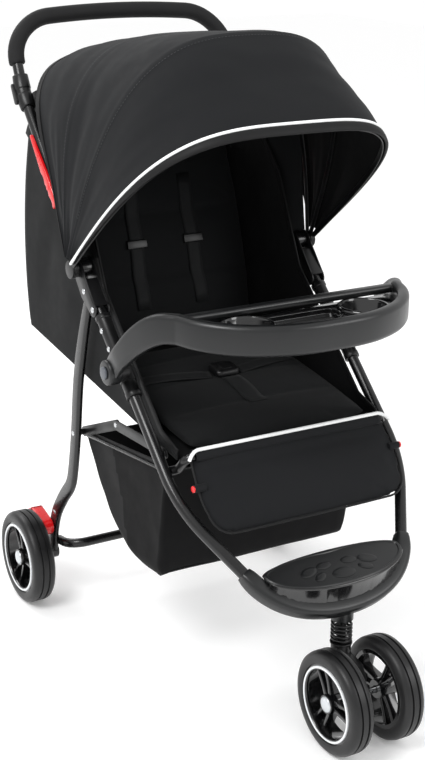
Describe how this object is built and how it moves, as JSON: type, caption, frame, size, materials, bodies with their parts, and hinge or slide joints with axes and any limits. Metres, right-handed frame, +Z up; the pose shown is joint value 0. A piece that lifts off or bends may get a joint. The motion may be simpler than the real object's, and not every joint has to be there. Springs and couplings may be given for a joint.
{
  "type": "three-wheel stroller",
  "caption": "Folding pushchair with twin swivelling front wheels, hooded reclining seat, cup tray, leg rest, footrest and a storage basket under the seat.",
  "frame": {"origin": "on the floor, under the middle of the stroller's bounding box", "axes": "+X to the child's left hand side seen from the front, +Y from the front wheels to the handle, +Z up"},
  "size_m": [0.538, 0.87, 1.0064],
  "materials": {
    "black_painted_steel": "gloss black paint",
    "dark_grey_plastic": "fine-grained matt moulding",
    "charcoal_polyester": "plain-woven matt cloth",
    "black_foam": "soft foam sleeve",
    "tyre_rubber": "solid tyre, low sheen",
    "red_plastic": "semi-gloss red",
    "grey_button_plastic": "matt grey",
    "zinc_plated_steel": "zinc plate",
    "black_webbing": "ribbed webbing"
  },
  "bodies": {
    "frame": {"front_tube_left": "black_painted_steel", "front_tube_right": "black_painted_steel", "hinge_housing_left": "dark_grey_plastic", "hinge_housing_right": "dark_grey_plastic", "tray_bracket_left": "dark_grey_plastic", "tray_bracket_right": "dark_grey_plastic", "footrest_bracket": "dark_grey_plastic", "footrest_plate": "dark_grey_plastic", "seat_front_bar": "black_painted_steel", "seat_sling": "charcoal_polyester", "back_curtain": "charcoal_polyester", "seat_cushion": "charcoal_polyester", "crotch_strap": "black_webbing", "harness_buckle": "dark_grey_plastic", "waist_strap_left": "black_webbing", "waist_strap_right": "black_webbing", "basket": "charcoal_polyester", "basket_rim": "black_painted_steel", "canopy_rear_bow": "dark_grey_plastic", "canopy_hinge_left": "dark_grey_plastic", "canopy_hinge_right": "dark_grey_plastic", "canopy_fabric": "charcoal_polyester", "suspension_spring": "zinc_plated_steel"},
    "push_handle": {"handle_tube": "black_painted_steel", "handle_grip": "black_foam", "handle_knuckle_left": "dark_grey_plastic", "handle_knuckle_right": "dark_grey_plastic"},
    "fold_latch_left": {"fold_latch_left": "red_plastic"},
    "fold_latch_right": {"fold_latch_right": "red_plastic"},
    "rear_legs": {"rear_leg_left": "dark_grey_plastic", "rear_leg_right": "dark_grey_plastic", "rear_crossbar": "black_painted_steel"},
    "rear_wheel_left": {"rear_tyre_left": "tyre_rubber", "rear_rim_left": "dark_grey_plastic"},
    "rear_wheel_right": {"rear_tyre_right": "tyre_rubber", "rear_rim_right": "dark_grey_plastic"},
    "brake_left": {"brake_pedal_left": "red_plastic"},
    "brake_right": {"brake_pedal_right": "red_plastic"},
    "rear_braces": {"rear_brace_left": "dark_grey_plastic", "rear_brace_right": "dark_grey_plastic"},
    "front_braces": {"front_brace_left": "dark_grey_plastic", "front_brace_right": "dark_grey_plastic"},
    "suspension_stem": {"caster_stem": "zinc_plated_steel"},
    "caster": {"caster_fork": "dark_grey_plastic", "front_axle": "zinc_plated_steel"},
    "front_wheel_left": {"front_tyre_left": "tyre_rubber", "front_rim_left": "dark_grey_plastic"},
    "front_wheel_right": {"front_tyre_right": "tyre_rubber", "front_rim_right": "dark_grey_plastic"},
    "canopy_front": {"canopy_front_bow": "dark_grey_plastic"},
    "canopy_middle": {"canopy_middle_bow": "dark_grey_plastic"},
    "seat_back": {"backrest": "charcoal_polyester", "shoulder_strap_left": "black_webbing", "shoulder_strap_right": "black_webbing"},
    "calf_rest": {"leg_rest": "charcoal_polyester"},
    "calf_button_left": {"leg_rest_button_left": "red_plastic"},
    "calf_button_right": {"leg_rest_button_right": "red_plastic"},
    "tray_unit": {"tray": "dark_grey_plastic"},
    "tray_release_left": {"tray_button_left": "grey_button_plastic"},
    "tray_release_right": {"tray_button_right": "grey_button_plastic"}
  },
  "joints": [
    {"name": "handle_fold", "type": "hinge", "parent": "frame", "child": "push_handle", "pos_m": [0, 0.14702, 0.63412], "axis": [1, 0, 0], "range_deg": [-138, 0]},
    {"name": "fold_latch_left_slide", "type": "slide", "parent": "push_handle", "child": "fold_latch_left", "axis": [0, 0.6756, 0.7373], "range_m": [0, 0.015], "stiffness_N_per_m": 400, "springref_m": -0.01},
    {"name": "fold_latch_right_slide", "type": "slide", "parent": "push_handle", "child": "fold_latch_right", "axis": [0, 0.6756, 0.7373], "range_m": [0, 0.015], "stiffness_N_per_m": 400, "springref_m": -0.01},
    {"name": "rear_leg_fold", "type": "hinge", "parent": "frame", "child": "rear_legs", "pos_m": [0, 0.12402, 0.60312], "axis": [1, 0, 0], "range_deg": [-32.01, 0]},
    {"name": "rear_brace_fold", "type": "hinge", "parent": "rear_legs", "child": "rear_braces", "pos_m": [0, 0.19275, 0.341], "axis": [1, 0, 0], "range_deg": [-37, 0]},
    {"name": "front_brace_fold", "type": "hinge", "parent": "frame", "child": "front_braces", "pos_m": [0, -0.09776, 0.40555], "axis": [1, 0, 0], "range_deg": [0, 31.1]},
    {"name": "rear_wheel_left_spin", "type": "hinge", "parent": "rear_legs", "child": "rear_wheel_left", "pos_m": [-0.249, 0.30175, 0.08099], "axis": [1, 0, 0], "continuous": true},
    {"name": "rear_wheel_right_spin", "type": "hinge", "parent": "rear_legs", "child": "rear_wheel_right", "pos_m": [0.249, 0.30175, 0.08099], "axis": [1, 0, 0], "continuous": true},
    {"name": "brake_left_press", "type": "hinge", "parent": "rear_legs", "child": "brake_left", "pos_m": [-0.2, 0.29575, 0.132], "axis": [1, 0, 0], "range_deg": [-20, 0]},
    {"name": "brake_right_press", "type": "hinge", "parent": "rear_legs", "child": "brake_right", "pos_m": [0.2, 0.29575, 0.132], "axis": [1, 0, 0], "range_deg": [-20, 0]},
    {"name": "suspension_slide", "type": "slide", "parent": "frame", "child": "suspension_stem", "axis": [0, 0, 1], "range_m": [0, 0.012], "stiffness_N_per_m": 4000, "springref_m": -0.01, "deforming": ["suspension_spring"]},
    {"name": "caster_swivel", "type": "hinge", "parent": "suspension_stem", "child": "caster", "pos_m": [0, -0.30325, 0.12], "axis": [0, 0, 1], "continuous": true},
    {"name": "front_wheel_left_spin", "type": "hinge", "parent": "caster", "child": "front_wheel_left", "pos_m": [-0.0447, -0.35625, 0.0785], "axis": [1, 0, 0], "continuous": true},
    {"name": "front_wheel_right_spin", "type": "hinge", "parent": "caster", "child": "front_wheel_right", "pos_m": [0.0447, -0.35625, 0.0785], "axis": [1, 0, 0], "continuous": true},
    {"name": "canopy_front_fold", "type": "hinge", "parent": "frame", "child": "canopy_front", "pos_m": [0, 0.14702, 0.63412], "axis": [1, 0, 0], "range_deg": [-49, 0], "deforming": ["canopy_fabric"]},
    {"name": "canopy_middle_fold", "type": "hinge", "parent": "frame", "child": "canopy_middle", "pos_m": [0, 0.14702, 0.63412], "axis": [1, 0, 0], "range_deg": [-26.5, 0]},
    {"name": "backrest_recline", "type": "hinge", "parent": "frame", "child": "seat_back", "pos_m": [0, 0.21675, 0.45882], "axis": [1, 0, 0], "range_deg": [-25, 0], "deforming": ["back_curtain"]},
    {"name": "leg_rest_raise", "type": "hinge", "parent": "frame", "child": "calf_rest", "pos_m": [0, -0.14421, 0.41175], "axis": [1, 0, 0], "range_deg": [-50, 0]},
    {"name": "leg_rest_button_left_press", "type": "slide", "parent": "calf_rest", "child": "calf_button_left", "axis": [1, 0, 0], "range_m": [0, 0.0025], "stiffness_N_per_m": 300, "springref_m": -0.002},
    {"name": "leg_rest_button_right_press", "type": "slide", "parent": "calf_rest", "child": "calf_button_right", "axis": [-1, 0, 0], "range_m": [0, 0.0025], "stiffness_N_per_m": 300, "springref_m": -0.002},
    {"name": "tray_tilt", "type": "hinge", "parent": "frame", "child": "tray_unit", "pos_m": [0, -0.00554, 0.51209], "axis": [1, 0, 0], "range_deg": [-45, 0]},
    {"name": "tray_button_left_press", "type": "slide", "parent": "tray_unit", "child": "tray_release_left", "axis": [1, 0, 0], "range_m": [0, 0.003], "stiffness_N_per_m": 300, "springref_m": -0.002},
    {"name": "tray_button_right_press", "type": "slide", "parent": "tray_unit", "child": "tray_release_right", "axis": [-1, 0, 0], "range_m": [0, 0.003], "stiffness_N_per_m": 300, "springref_m": -0.002}
  ],
  "couplings": [
    {"joint": "rear_leg_fold", "follows": "handle_fold", "ratio": 0.23188},
    {"joint": "rear_brace_fold", "follows": "handle_fold", "ratio": 0.26795},
    {"joint": "front_brace_fold", "follows": "handle_fold", "ratio": -0.22508},
    {"joint": "canopy_middle_fold", "follows": "canopy_front_fold", "ratio": 0.54082}
  ]
}
